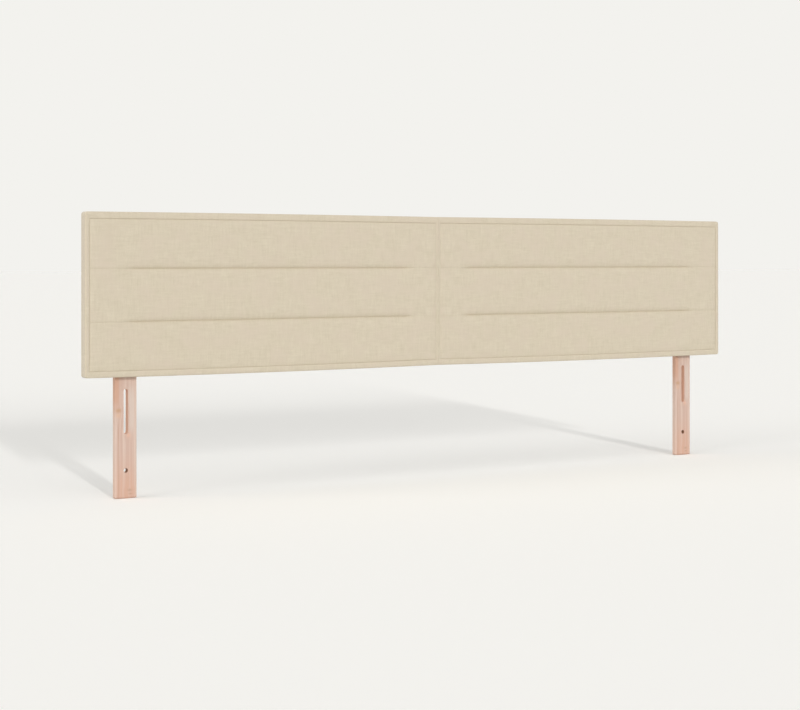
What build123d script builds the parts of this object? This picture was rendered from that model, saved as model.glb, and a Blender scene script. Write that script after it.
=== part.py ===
from build123d import *
import os

os.makedirs("parts", exist_ok=True)

# A headboard of two upholstered panels on two slotted legs. All sizes are in millimetres.
# X runs along the headboard, Y from its front to its back and Z up.
# The origin is on the floor, midway along the headboard and midway through its depth.

# Panels: both are alike, and the right one is the left one mirrored
panel_width = 1000
panel_height = 400
panel_base = 297
corner_radius = 5
edge_radius = 4
back_edge_radius = 2

# Cover and lining
cover_thickness = 1.2
cover_clearance = 0.3
hem_width = 35
lining_thickness = 0.5
lining_inset = 12

# Seam between the padded face and the border band
edge_seam_inset = 16
outer_seam_inset = 11
inner_seam_inset = 7.5
seam_depth = 3.5
lip_radius = 1.8
margin_drop = 0.8

# Stitched grooves of the padded face, deep along the middle and faint at their ends
middle_band = 129
groove_depth = 6
band_crown = 0.8
roll_width = 14
groove_end = 85
fade_length = 40

# Foam, board and frame
pad_thickness = 8.8
board_thickness = 3
frame_thickness = 15
rail_width = 50
outer_stile_width = 50
middle_stile_width = 50
inner_stile_width = 70
leg_stile_width = 90
lap_depth = 7.5

# Legs
leg_width = 56
leg_thickness = 15
leg_overlap = 303
leg_edge_distance = 87
leg_chamfer = 1
slot_width = 11
slot_length = 110
slot_base = 157
hole_radius = 5.5
hole_height = 68

# Bolts that hold the legs, with their washers and tee nuts
bolt_radius = 3
bolt_length = 25
bolt_head_width = 10
bolt_head_height = 4
bolt_clearance = 0.5
bolt_top_distance = 43
bolt_spacing = 165
washer_radius = 6
washer_thickness = 1.6
recess_radius = 8
recess_depth = 6
nut_flange_width = 15
nut_flange_thickness = 1.5
nut_barrel_radius = 4
nut_barrel_length = 10
thread_clearance = 0.1

# Joining plates across the meeting ends of the panels
plate_length = 150
plate_width = 40
plate_thickness = 2.5
plate_bevel = 5
plate_edge_distance = 100
plate_near_hole = 43
plate_far_hole = 62
screw_radius = 2
screw_length = 16
screw_head_width = 8
screw_head_height = 2.8
screw_clearance = 0.25
lining_cut_margin = 6

# Shares of the padded face's full form near its seams and at the faint ends of its grooves
seam_rise_share = 0.1
shoulder_rise_share = 0.7
shoulder_place_share = 0.35
faint_groove_share = 0.18

# Share of a rounding's radius that a bevel takes where it touches the same arc
bevel_share = 2 - 2 ** 0.5

# Levels through the depth, from the crown of the padded face to the back of the legs
pad_gap = cover_thickness + cover_clearance
panel_depth = (pad_gap + pad_thickness + board_thickness + frame_thickness
               + cover_thickness + lining_thickness)
face_y = -(panel_depth + leg_thickness) / 2
margin_y = face_y + margin_drop
seam_y = face_y + seam_depth
lip_end_y = seam_y + cover_thickness
slot_floor_y = lip_end_y + cover_clearance
board_y = face_y + pad_gap + pad_thickness
frame_y = board_y + board_thickness
frame_back_y = frame_y + frame_thickness
hem_y = frame_back_y + cover_thickness
leg_y = hem_y + lining_thickness
leg_back_y = leg_y + leg_thickness
bolt_seat_y = leg_back_y - recess_depth

# Places along and up the left panel
panel_x = -panel_width / 2
panel_z = panel_base + panel_height / 2
inside_width = panel_width - 2 * pad_gap
inside_height = panel_height - 2 * pad_gap
field_left = -panel_width + outer_seam_inset
field_right = -inner_seam_inset
field_x = (field_left + field_right) / 2
field_width = field_right - field_left
field_height = panel_height - 2 * edge_seam_inset
seam_top = panel_z + field_height / 2
seam_bottom = panel_z - field_height / 2
groove_top = panel_z + middle_band / 2
groove_bottom = panel_z - middle_band / 2
leg_x = -panel_width + leg_edge_distance + leg_width / 2
stile_height = inside_height - 2 * rail_width
outer_stile_x = -panel_width + pad_gap + outer_stile_width / 2
inner_stile_x = -pad_gap - inner_stile_width / 2
middle_stile_x = (leg_x + leg_stile_width / 2 + inner_stile_x - inner_stile_width / 2) / 2
rail_rise = (inside_height - rail_width) / 2
leg_length = panel_base + leg_overlap
bolt_heights = [leg_length - bolt_top_distance - bolt_spacing, leg_length - bolt_top_distance]
plate_rise = panel_height / 2 - plate_edge_distance

# Stiles: place along the panel, width and level of the back
stiles = {
    "outer_stile": (outer_stile_x, outer_stile_width, frame_back_y),
    "leg_stile": (leg_x, leg_stile_width, hem_y),
    "middle_stile": (middle_stile_x, middle_stile_width, frame_back_y),
    "inner_stile": (inner_stile_x, inner_stile_width, frame_back_y),
}


def front_plane(y):
    # An upright plane at depth y that faces the front: X to the right, then Z up
    return Plane.XZ.offset(-y)


def back_plane(y):
    # An upright plane at depth y that faces the back: Z first, then X
    return Plane.ZX.offset(y)


def panel_form(inset, back_inset):
    # The rounded block of the cover's outside, or inside it a bevelled one, smaller by inset all round
    with BuildPart() as form:
        with BuildSketch(front_plane(hem_y - back_inset)):
            with Locations((panel_x, panel_z)):
                outline = Rectangle(panel_width - 2 * inset, panel_height - 2 * inset)
            if inset:
                chamfer(outline.vertices(), (corner_radius - inset) * bevel_share)
            else:
                fillet(outline.vertices(), corner_radius)
        extrude(amount=hem_y - back_inset - margin_y - inset)
        front_edges = form.faces().sort_by(Axis.Y)[0].edges()
        back_edges = form.faces().sort_by(Axis.Y)[-1].edges()
        chamfer(back_edges, (back_edge_radius - inset) * bevel_share)
        if inset:
            chamfer(front_edges, (edge_radius - inset) * bevel_share)
        else:
            fillet(front_edges, edge_radius)
    return form.part


def field_block(end_y, grow):
    # A block over the padded field, from the face to a depth, larger by grow all round
    with BuildPart() as block:
        with BuildSketch(front_plane(end_y)):
            with Locations((field_x, panel_z)):
                Rectangle(field_width + 2 * grow, field_height + 2 * grow)
        extrude(amount=end_y - face_y)
    return block.part


def padded_line(rise, groove, shift):
    # The front line of one section, from the top seam down: three bands with rolled edges
    shoulder = seam_y - rise * (seam_depth - band_crown)
    crown = shoulder - rise * band_crown
    valley = shoulder + rise * groove * (groove_depth - band_crown)
    roll = roll_width * shoulder_place_share
    ends = [(seam_y, seam_top), (valley, groove_top), (valley, groove_bottom), (seam_y, seam_bottom)]
    for (top_y, top), (low_y, low) in zip(ends, ends[1:]):
        ThreePointArc((top_y + shift, top),
                      (top_y + (shoulder - top_y) * shoulder_rise_share + shift, top - roll),
                      (shoulder + shift, top - roll_width))
        ThreePointArc((shoulder + shift, top - roll_width),
                      (crown + shift, (top + low) / 2),
                      (shoulder + shift, low + roll_width))
        ThreePointArc((shoulder + shift, low + roll_width),
                      (low_y + (shoulder - low_y) * shoulder_rise_share + shift, low + roll),
                      (low_y + shift, low))


# Stations of the padded field: place along the panel, rise of the bands, depth of the grooves
deep_left = -panel_width + groove_end + fade_length
deep_right = -groove_end - fade_length
near_seam = roll_width * shoulder_place_share
stations = [
    (field_left, seam_rise_share, faint_groove_share),
    (field_left + near_seam, shoulder_rise_share, faint_groove_share),
    (deep_left - fade_length, 1, faint_groove_share),
    (deep_left, 1, 1),
    (deep_right, 1, 1),
    (deep_right + fade_length, 1, faint_groove_share),
    (field_right - near_seam, shoulder_rise_share, faint_groove_share),
    (field_right, seam_rise_share, faint_groove_share),
]

# Padded face of the cover: a sheet with three crowned bands and two stitched grooves
with BuildPart() as cover_face:
    for place, rise, groove in stations:
        with BuildSketch(Plane.YZ.offset(place)):
            with BuildLine():
                padded_line(rise, groove, 0)
                padded_line(rise, groove, cover_thickness)
                Line((seam_y, seam_top), (lip_end_y, seam_top))
                Line((seam_y, seam_bottom), (lip_end_y, seam_bottom))
            make_face()
    loft(ruled=True)

# Border band of the cover: a front margin with its lip at the seam, four sides and a hem
cover_outside = panel_form(0, 0)
with BuildPart() as cover_border:
    add(cover_outside)
    add(panel_form(cover_thickness, cover_thickness), mode=Mode.SUBTRACT)
    add(field_block(lip_end_y, cover_thickness))
    add(cover_outside, mode=Mode.INTERSECT)
    add(field_block(lip_end_y, 0), mode=Mode.SUBTRACT)
    lip_edges = cover_border.faces().sort_by(Axis.Y)[0].inner_wires()[0].edges()
    chamfer(lip_edges, lip_radius * bevel_share)
    with BuildSketch(front_plane(hem_y)):
        with Locations((panel_x, panel_z)):
            Rectangle(panel_width - 2 * hem_width, panel_height - 2 * hem_width)
    extrude(amount=cover_thickness, mode=Mode.SUBTRACT)

# Foam pad: the crowned field and a rim under the border, parted by a groove for the seam
cover_content = panel_form(pad_gap, cover_thickness)
with BuildPart() as pad_field:
    for place, rise, groove in stations:
        with BuildSketch(Plane.YZ.offset(place)):
            with BuildLine():
                padded_line(rise, groove, pad_gap)
                Polyline((slot_floor_y, seam_top), (board_y, seam_top),
                         (board_y, seam_bottom), (slot_floor_y, seam_bottom))
            make_face()
    loft(ruled=True)

with BuildPart() as foam_pad:
    add(cover_content)
    split(bisect_by=front_plane(board_y), keep=Keep.TOP)
    add(field_block(slot_floor_y, pad_gap), mode=Mode.SUBTRACT)
    add(field_block(board_y, 0), mode=Mode.SUBTRACT)
    add(pad_field.part)

# Thin board that the foam is glued to
with BuildPart() as front_board:
    add(cover_content)
    split(bisect_by=front_plane(frame_y), keep=Keep.TOP)
    split(bisect_by=front_plane(board_y), keep=Keep.BOTTOM)


def rail(height):
    # A rail along the panel, notched for the stiles, its outer edges eased as the cover's inside is
    with BuildPart() as bar:
        with BuildSketch(front_plane(frame_back_y)):
            with Locations((panel_x, height)):
                Rectangle(inside_width, rail_width)
        extrude(amount=frame_thickness)
        with BuildSketch(front_plane(frame_y + lap_depth)):
            for x, width, back in stiles.values():
                with Locations((x, height)):
                    Rectangle(width, rail_width)
        extrude(amount=lap_depth, mode=Mode.SUBTRACT)
        add(cover_content, mode=Mode.INTERSECT)
    return bar.part


def stile(name):
    # An upright between the rails, with a tongue at each end that laps over the rail's front
    x, width, back = stiles[name]
    with BuildPart() as bar:
        with BuildSketch(front_plane(back)):
            with Locations((x, panel_z)):
                Rectangle(width, stile_height)
        extrude(amount=back - frame_y)
        with BuildSketch(front_plane(frame_y + lap_depth)):
            with Locations((x, panel_z)):
                Rectangle(width, inside_height)
        extrude(amount=lap_depth)
    return bar.part


def hexagon_bolts(places, seat_y, radius, length, head_width, head_height):
    # Bolts that enter from the back, their heads seated at one depth
    with BuildPart(back_plane(seat_y)) as bolts:
        with Locations(*places):
            Cylinder(radius, length, align=(Align.CENTER, Align.CENTER, Align.MAX))
        with BuildSketch(back_plane(seat_y)):
            with Locations(*places):
                RegularPolygon(head_width / 2, 6, major_radius=False)
        extrude(amount=head_height)
    return bolts.part


with BuildPart() as outer_stile:
    add(stile("outer_stile"))
    add(cover_content, mode=Mode.INTERSECT)

# Places of the joining plates and of their screws: height, then place along the headboard
plate_heights = {"lower": panel_z - plate_rise, "upper": panel_z + plate_rise}
screw_offsets = (-plate_far_hole, -plate_near_hole, plate_near_hole, plate_far_hole)
plate_y = leg_y + plate_thickness

with BuildPart() as inner_stile:
    add(stile("inner_stile"))
    add(cover_content, mode=Mode.INTERSECT)
    with Locations(back_plane(plate_y)):
        with Locations(*[(height, offset) for height in plate_heights.values()
                         for offset in screw_offsets if offset < 0]):
            Hole(screw_radius + thread_clearance, screw_length + thread_clearance)

# The stile behind the leg is level with the hem, so that the leg beds flat on the lining
bolt_places = [(height, leg_x) for height in bolt_heights]
with BuildPart() as leg_stile:
    add(stile("leg_stile"))
    with BuildSketch(back_plane(frame_y)):
        with Locations(*bolt_places):
            RegularPolygon(nut_flange_width / 2 + thread_clearance, 6, major_radius=False)
    extrude(amount=nut_flange_thickness, mode=Mode.SUBTRACT)
    with Locations(back_plane(hem_y)):
        with Locations(*bolt_places):
            Hole(nut_barrel_radius + thread_clearance)

# Lining of the back, over the hem, cut out for the bolts and under the joining plates
plate_cut_x = -(plate_near_hole + plate_far_hole) / 2
plate_cut_length = plate_far_hole - plate_near_hole + 2 * lining_cut_margin
with BuildPart() as back_lining:
    with BuildSketch(back_plane(hem_y)):
        with Locations((panel_z, panel_x)):
            Rectangle(panel_height - 2 * lining_inset, panel_width - 2 * lining_inset)
        with Locations(*bolt_places):
            Rectangle(2 * (bolt_radius + bolt_clearance), 2 * (bolt_radius + bolt_clearance),
                      mode=Mode.SUBTRACT)
        with Locations(*[(height, plate_cut_x) for height in plate_heights.values()]):
            Rectangle(2 * lining_cut_margin, plate_cut_length, mode=Mode.SUBTRACT)
    extrude(amount=lining_thickness)

# Leg: a flat bar with a slot and a hole for the bed's bolts, and recesses for its own bolts
with BuildPart() as leg:
    with BuildSketch(back_plane(leg_y)):
        with Locations((0, leg_x)):
            Rectangle(leg_length, leg_width, align=(Align.MIN, Align.CENTER))
    extrude(amount=leg_thickness)
    chamfer(leg.edges(), leg_chamfer)
    with BuildSketch(back_plane(leg_y)):
        with Locations((slot_base + slot_length / 2, leg_x)):
            SlotOverall(slot_length, slot_width)
        with Locations((hole_height, leg_x)):
            Circle(hole_radius)
    extrude(amount=leg_thickness, mode=Mode.SUBTRACT)
    with Locations(back_plane(leg_back_y)):
        with Locations(*bolt_places):
            CounterBoreHole(bolt_radius + bolt_clearance, recess_radius, recess_depth)

# Washers and tee nuts of the leg's bolts
with BuildPart(back_plane(bolt_seat_y)) as leg_washers:
    with Locations(*bolt_places):
        Cylinder(washer_radius, washer_thickness, align=(Align.CENTER, Align.CENTER, Align.MIN))
        Hole(bolt_radius + thread_clearance)

with BuildPart(back_plane(frame_y)) as leg_tee_nuts:
    with BuildSketch(back_plane(frame_y)):
        with Locations(*bolt_places):
            RegularPolygon(nut_flange_width / 2, 6, major_radius=False)
    extrude(amount=nut_flange_thickness)
    with Locations(*bolt_places):
        Cylinder(nut_barrel_radius, nut_barrel_length,
                 align=(Align.CENTER, Align.CENTER, Align.MIN))
        Hole(bolt_radius + thread_clearance)

left_pieces = {
    "cover_face": cover_face.part,
    "cover_border": cover_border.part,
    "foam_pad": foam_pad.part,
    "front_board": front_board.part,
    "top_rail": rail(panel_z + rail_rise),
    "bottom_rail": rail(panel_z - rail_rise),
    "outer_stile": outer_stile.part,
    "leg_stile": leg_stile.part,
    "middle_stile": stile("middle_stile"),
    "inner_stile": inner_stile.part,
    "back_lining": back_lining.part,
    "leg": leg.part,
    "leg_bolts": hexagon_bolts(bolt_places, bolt_seat_y + washer_thickness, bolt_radius,
                               bolt_length, bolt_head_width, bolt_head_height),
    "leg_washers": leg_washers.part,
    "leg_tee_nuts": leg_tee_nuts.part,
}


def joining_plate(height):
    # A flat steel plate across the joint of the panels
    with BuildPart() as plate:
        with BuildSketch(back_plane(leg_y)):
            with Locations((height, 0)):
                outline = Rectangle(plate_width, plate_length)
                chamfer(outline.vertices(), plate_bevel)
            with Locations(*[(height, offset) for offset in screw_offsets]):
                Circle(screw_radius + screw_clearance, mode=Mode.SUBTRACT)
        extrude(amount=plate_thickness)
    return plate.part


def save(name, piece):
    piece.label = name
    export_step(piece, "parts/" + name + ".step")


for name, piece in left_pieces.items():
    save("left_" + name, piece)
    save("right_" + name, mirror(piece, about=Plane.YZ))

for level, height in plate_heights.items():
    screw_places = [(height, offset) for offset in screw_offsets]
    save(level + "_joining_plate", joining_plate(height))
    save(level + "_plate_screws", hexagon_bolts(screw_places, plate_y, screw_radius, screw_length,
                                                screw_head_width, screw_head_height))
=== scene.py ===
import math

import bmesh
import bpy
import numpy as np
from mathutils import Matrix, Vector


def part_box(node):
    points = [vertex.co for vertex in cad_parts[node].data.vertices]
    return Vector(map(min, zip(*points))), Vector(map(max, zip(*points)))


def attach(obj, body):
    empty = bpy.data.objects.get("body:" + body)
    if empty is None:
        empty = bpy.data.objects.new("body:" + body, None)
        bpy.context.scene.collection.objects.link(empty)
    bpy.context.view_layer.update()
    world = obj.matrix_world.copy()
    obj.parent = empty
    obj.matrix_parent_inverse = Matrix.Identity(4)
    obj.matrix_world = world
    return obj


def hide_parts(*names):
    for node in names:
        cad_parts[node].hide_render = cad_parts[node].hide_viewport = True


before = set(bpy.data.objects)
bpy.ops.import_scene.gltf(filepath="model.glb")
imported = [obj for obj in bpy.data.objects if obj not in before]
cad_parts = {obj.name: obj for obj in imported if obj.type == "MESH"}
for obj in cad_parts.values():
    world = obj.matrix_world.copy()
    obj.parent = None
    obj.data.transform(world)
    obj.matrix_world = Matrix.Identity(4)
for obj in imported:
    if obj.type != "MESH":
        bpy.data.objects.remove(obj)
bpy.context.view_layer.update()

print("frame loaded:", len(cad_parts), "nodes")

# In each function, c is the dictionary of its own piece, look that of its own material, and m the
# material's nodes
mm = 0.001  # a millimetre in metres
scene = bpy.context.scene
rightAngle = math.pi / 2
seeds = {  # of the random draws
    "face": {"left": 100, "right": 200},
    "band": {"left": 300, "right": 400},
    "lining": {"left": 500, "right": 600},
    "staples": {"left": 700, "right": 800},
}


# Sizes that the frame gives for the left panel

def boxOf(node):
    low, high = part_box(node)
    return np.array(low), np.array(high)


faceLow, faceHigh = boxOf("left_cover_face")
bandLow, bandHigh = boxOf("left_cover_border")
boardFront = boxOf("left_front_board")[0][1]
liningLow, liningHigh = boxOf("left_back_lining")
legLow, legHigh = boxOf("left_leg")
seamPlaces = {
    "grooves": (-66.1 * mm, 62.9 * mm),  # up from the middle of the solid face
    "lower": -0.5 * mm,  # shift of the border seam upwards from the solid face's edge
    "upper": -0.9 * mm,
    "inner": 1.0 * mm,  # shift towards the middle of the row
}
grooveHeights = [faceLow[2] + (faceHigh[2] - faceLow[2]) / 2 + offset for offset in seamPlaces["grooves"]]
faceLow[2] += seamPlaces["lower"]
faceHigh[2] += seamPlaces["upper"]
faceHigh[0] += seamPlaces["inner"]


# Mesh tools

def ease(share):
    # 3 s² - 2 s³ for a share s between 0 and 1
    share = np.clip(share, 0, 1)
    return share * share * (3 - 2 * share)


def roll(distance, radius):
    # A quarter ellipse: 0 with an upright tangent at distance 0, and 1, level, from the radius on
    share = np.clip(distance / radius, 0, 1)
    return np.sqrt(1 - (1 - share) ** 2)


def gradedLine(marks, fine, coarse, reach, samples=2001):
    # Places along a line, with every mark among them. The spacing grows smoothly from fine at a mark
    # to coarse at the reach from it.
    pieces = []
    for start, end in zip(marks[:-1], marks[1:]):
        dense = np.linspace(start, end, samples)
        spacing = fine + (coarse - fine) * ease(np.minimum(dense - start, end - dense) / reach)
        travelled = np.concatenate([[0], np.cumsum(np.diff(dense) * 2 / (spacing[1:] + spacing[:-1]))])
        count = max(2, int(round(travelled[-1])) + 1)
        pieces.append(np.interp(np.linspace(0, travelled[-1], count), travelled, dense)[:-1])
    return np.concatenate([*pieces, [marks[-1]]])


def waves(seed, count, longest, shortest):
    # Wave numbers, phases and turns of sines whose lengths run from longest to shortest
    draw = np.random.default_rng(seed)
    lengths = np.geomspace(longest, shortest, count)
    return 2 * math.pi / lengths, draw.uniform(0, 2 * math.pi, count), draw.uniform(-1, 1, count)


def ripple(place, seed, longest, shortest, count=7):
    # A smooth random line: a sum of sines of unlike lengths, over the root of their number
    numbers, phases, _ = waves(seed, count, longest, shortest)
    return np.sin(place[..., None] * numbers + phases).sum(-1) / math.sqrt(count)


def swell(u, v, seed, longest, shortest, count=9):
    # A smooth random sheet: the same sum, of sines that also run in unlike directions
    numbers, phases, turns = waves(seed, count, longest, shortest)
    angles = turns * math.pi
    along = u[..., None] * np.cos(angles) + v[..., None] * np.sin(angles)
    return np.sin(along * numbers + phases).sum(-1) / math.sqrt(count)


edgeBow = {
    "lower": (1.0 * mm, -1.3 * mm),  # change of height at the ends and in the middle
    "upper": (-0.3 * mm, 0.7 * mm),
    "reach": 90 * mm,
}


def bowed(points, c=edgeBow):
    # The long edges of a panel bow outwards. With t from -1 to 1 along the panel, a height changes by
    # ends t² + middle (1 - t²), times a share that eases from 1 at the edge to 0 at the reach.
    centre, half = (bandLow[0] + bandHigh[0]) / 2, (bandHigh[0] - bandLow[0]) / 2
    squared = ((points[..., 0] - centre) / half) ** 2
    height = points[..., 2].copy()
    for name, distance in (("lower", height - bandLow[2]), ("upper", bandHigh[2] - height)):
        ends, middle = c[name]
        points[..., 2] += (ends * squared + middle * (1 - squared)) * ease(1 - distance / c["reach"])
    return points


def gridQuads(rows, columns, closed=False):
    # Corner numbers of the quads of a grid whose points are stored row by row
    wrap = columns if closed else columns - 1
    row, column = np.meshgrid(np.arange(rows - 1), np.arange(wrap), indexing="ij")
    following = (column + 1) % columns
    low, high = row * columns, (row + 1) * columns
    return np.stack([low + column, low + following, high + following, high + column], -1).reshape(-1, 4)


def rimNumbers(rows, columns):
    # Numbers of the points round the rim of a grid
    number = np.arange(rows * columns).reshape(rows, columns)
    return np.concatenate([number[0, :-1], number[:-1, -1], number[-1, :0:-1], number[:0:-1, 0]])


def wallQuads(front, back):
    # Quads between two closed rings of point numbers
    return np.stack([front, back, np.roll(back, -1), np.roll(front, -1)], -1)


def rimDistances(gridX, gridZ):
    # How far each point of a flat grid is from its nearest upright and its nearest level side
    return (np.minimum(gridX - gridX.min(), gridX.max() - gridX),
            np.minimum(gridZ - gridZ.min(), gridZ.max() - gridZ))


def grooveDistance(z):
    return np.min([np.abs(z - height) for height in grooveHeights], axis=0)


def addObject(name, data):
    thing = bpy.data.objects.new(name, data)
    scene.collection.objects.link(thing)
    return thing


def pointsOf(mesh):
    points = np.empty(3 * len(mesh.vertices), dtype=np.float32)
    mesh.vertices.foreach_get("co", points)
    return points.reshape(-1, 3).astype(float)


def meshObject(side, name, points, quads, uv=None, creaseShade=None, extra=()):
    # A mesh from arrays of points and quads and a list of extra faces. All are worked out for the left
    # panel, so on the right side X and the winding are turned.
    points = np.array(points, dtype=float).reshape(-1, 3)
    faces = [list(face) for face in extra]
    if side == "right":
        points[:, 0] *= -1
        quads = quads[:, ::-1]
        faces = [face[::-1] for face in faces]
    mesh = bpy.data.meshes.new(side + name)
    mesh.from_pydata(points.tolist(), [], quads.tolist() + faces)
    mesh.update()
    if uv is not None:
        layer = mesh.uv_layers.new(name="Cloth")
        corners = np.empty(len(mesh.loops), dtype=np.int32)
        mesh.loops.foreach_get("vertex_index", corners)
        layer.data.foreach_set("uv", np.asarray(uv, dtype=np.float32).reshape(-1, 2)[corners].ravel())
    # The painted crease shade of each point, for the cloth's material
    if creaseShade is not None:
        shade = mesh.attributes.new("creaseShade", "FLOAT", "POINT")
        shade.data.foreach_set("value", np.asarray(creaseShade, dtype=np.float32).ravel())
    mesh.shade_smooth()
    return addObject(side + name, mesh)


def dress(piece, material):
    piece.data.materials.clear()
    piece.data.materials.append(material)
    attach(piece, "root")
    return piece


# Material tools

class Shading:
    # The emptied node tree of a new material or a world, with a short call for each kind of node

    def __init__(self, name, world=None):
        self.owner = world or bpy.data.materials.new(name)
        self.owner.use_nodes = True
        self.tree = self.owner.node_tree
        self.tree.nodes.clear()

    def add(self, kind, inputs=(), **settings):
        # Adds a node and gives back its outputs. Inputs are sockets or values, by name or in order.
        node = self.tree.nodes.new("ShaderNode" + kind)
        for name, setting in settings.items():
            setattr(node, name, setting)
        for key, value in inputs.items() if isinstance(inputs, dict) else enumerate(inputs):
            socket = node.inputs[key]
            if isinstance(value, bpy.types.NodeSocket):
                self.tree.links.new(value, socket)
            else:
                socket.default_value = (*value, 1) if socket.type == "RGBA" else value
        return node.outputs

    def calc(self, operation, *values):
        return self.add("Math", values, operation=operation)[0]

    def plus(self, first, second):
        return self.calc("ADD", first, second)

    def minus(self, first, second):
        return self.calc("SUBTRACT", first, second)

    def times(self, first, second):
        return self.calc("MULTIPLY", first, second)

    def timesPlus(self, first, second, third):
        return self.calc("MULTIPLY_ADD", first, second, third)

    def sine(self, value, rate):
        return self.calc("SINE", self.times(value, rate))

    def away(self, value, centre=0.0):
        return self.calc("ABSOLUTE", self.minus(value, centre))

    def blend(self, share, first, second):
        return self.add("Mix", {0: share, 6: first, 7: second}, data_type="RGBA")[2]

    def fromTo(self, value, low, high, newLow=0.0, newHigh=1.0, kind="LINEAR"):
        return self.add("MapRange", (value, low, high, newLow, newHigh), interpolation_type=kind)[0]

    def step(self, value, *span):
        return self.fromTo(value, *span, kind="SMOOTHSTEP")

    def stretched(self, vector, scale, offset=(0, 0, 0)):
        # Coordinates times a scale for each axis, after an offset in metres
        place = [o * s for o, s in zip(offset, scale)]
        return self.add("Mapping", {"Vector": vector, "Location": place, "Scale": scale})[0]

    def noise(self, vector, scale, detail=2.0, roughness=0.5, offset=(0, 0, 0)):
        inputs = {"Scale": 1, "Detail": detail, "Roughness": roughness}
        return self.add("TexNoise", {"Vector": self.stretched(vector, scale, offset), **inputs})[0]

    def bump(self, height, strength, distance):
        return self.add("Bump", {"Height": height, "Strength": strength, "Distance": distance})[0]

    def coordinates(self, name):
        return self.add("TexCoord")[name]

    def parts(self, vector):
        return tuple(self.add("SeparateXYZ", [vector]))

    def finished(self, surface):
        # The material, ended by a shader of these inputs
        self.add("OutputMaterial", {"Surface": self.add("BsdfPrincipled", surface)[0]})
        return self.owner


# Fabric of the covers

fabricLook = {
    "light": (0.674, 0.601, 0.470),
    "dark": (0.568, 0.494, 0.369),
    "warm": (0.640, 0.548, 0.438),
    # Painted shade for the creases: its colour, and its share where the shade is full
    "creaseShade": (0.520, 0.440, 0.295),
    "creaseShadeShare": 0.45,
    "threadPitch": 1.05 * mm,
    # Noise: its rate along each direction of the cloth, detail, roughness and offset
    "slubs": (((900, 22, 1), 3), ((22, 900, 1), 3)),
    "broadSlubs": (((190, 28, 1), 3, 0.6), ((24, 170, 1), 3, 0.6)),
    "mottle": ((42, 42, 1), 4, 0.6),
    "flecks": ((260, 260, 1), 4, 0.7),
    "hues": ((16, 16, 1), 3, 0.5, (0.3, 0.7, 0)),
    # Strengths in the tone, then spans of tone and hue with their shares
    "slubShare": 0.85,
    "broadShare": 1.00,
    "mottleShare": 0.80,
    "weaveShare": 0.10,
    "darkSpan": (-0.5, 0.5, 0.85, 0.0),
    "warmSpan": (0.42, 0.68, 0.0, 0.60),
    "reliefShare": 0.5,  # of the slubs, against the weave
    "relief": (0.35, 0.35 * mm),
}


def fabricMaterial(look=fabricLook):
    # Plain weave: the product of a sine along and a sine across the cloth's own map, with slubs along
    # both threads, mottling and flecks of noise, and painted shade in the creases: a darker, olive colour
    m = Shading("creamWeave")
    cloth = m.coordinates("UV")
    u, v, _ = m.parts(cloth)
    rate = math.pi / look["threadPitch"]
    weave = m.times(m.sine(u, rate), m.sine(v, rate))
    slubs = m.plus(*(m.noise(cloth, *grain) for grain in look["slubs"]))
    broad = m.plus(*(m.noise(cloth, *grain) for grain in look["broadSlubs"]))
    tone = m.times(m.minus(slubs, 1.0), look["slubShare"])
    tone = m.timesPlus(m.minus(broad, 1.0), look["broadShare"], tone)
    for name in ("mottle", "flecks"):
        tone = m.timesPlus(m.minus(m.noise(cloth, *look[name]), 0.5), look["mottleShare"], tone)
    tone = m.timesPlus(weave, look["weaveShare"], tone)
    colour = m.blend(m.fromTo(tone, *look["darkSpan"]), look["light"], look["dark"])
    colour = m.blend(m.fromTo(m.noise(cloth, *look["hues"]), *look["warmSpan"]), colour, look["warm"])
    # Painted shade: the crease shade attribute blends in the darker crease colour at seams and grooves
    creaseShadeMask = m.add("Attribute", attribute_name="creaseShade")["Fac"]
    return m.finished({
        "Base Color": m.blend(m.times(creaseShadeMask, look["creaseShadeShare"]), colour, look["creaseShade"]),
        "Roughness": 0.92,
        "Specular IOR Level": 0.25,
        "Sheen Weight": 0.18,
        "Sheen Roughness": 0.55,
        "Normal": m.bump(m.timesPlus(slubs, look["reliefShare"], weave), *look["relief"]),
    })


creamWeave = fabricMaterial()


# Padded face of each panel: three bands of cloth over foam, with two stitched grooves

cushion = {
    "seamDepth": 2.6 * mm,
    "seamRoll": 13 * mm,
    "grooveDepth": 5.2 * mm,
    "grooveRoll": 16 * mm,
    "grooveBow": 2.6,  # power of the fall from the top of the roll to the stitches
    "grooveEnds": (114 * mm, 89 * mm),  # to half depth, from the outer and the inner edge
    "fade": 38 * mm,
    "faint": (0.18, 0.08),  # share of the depth that is left beyond the outer and the inner end
    "innerSeam": 0.45,  # share of the seam's depth where the two panels meet
    "crown": 0.8 * mm,
    "fine": 0.5 * mm,
    "coarse": 4.5 * mm,
    "reach": 16 * mm,
    "pucker": 0.30 * mm,
    "puckerWaves": (0.05, 0.012),  # longest and shortest, in metres
    "seamWaves": (0.06, 0.014),
    "slack": 0.30 * mm,
    "slackWaves": (0.30, 0.05),
    "creaseWidth": 2.2 * mm,
    "seamShade": 0.45,  # share of the painted crease shade along the border seam
}


def grooveFade(x, c=cushion):
    # 1 along the middle of the panel and the faint share near its ends, with a smooth step between
    outer = ease((x - bandLow[0] - c["grooveEnds"][0]) / c["fade"] + 0.5)
    inner = ease((bandHigh[0] - x - c["grooveEnds"][1]) / c["fade"] + 0.5)
    return (c["faint"][0] + (1 - c["faint"][0]) * outer) * (c["faint"][1] + (1 - c["faint"][1]) * inner)


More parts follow.
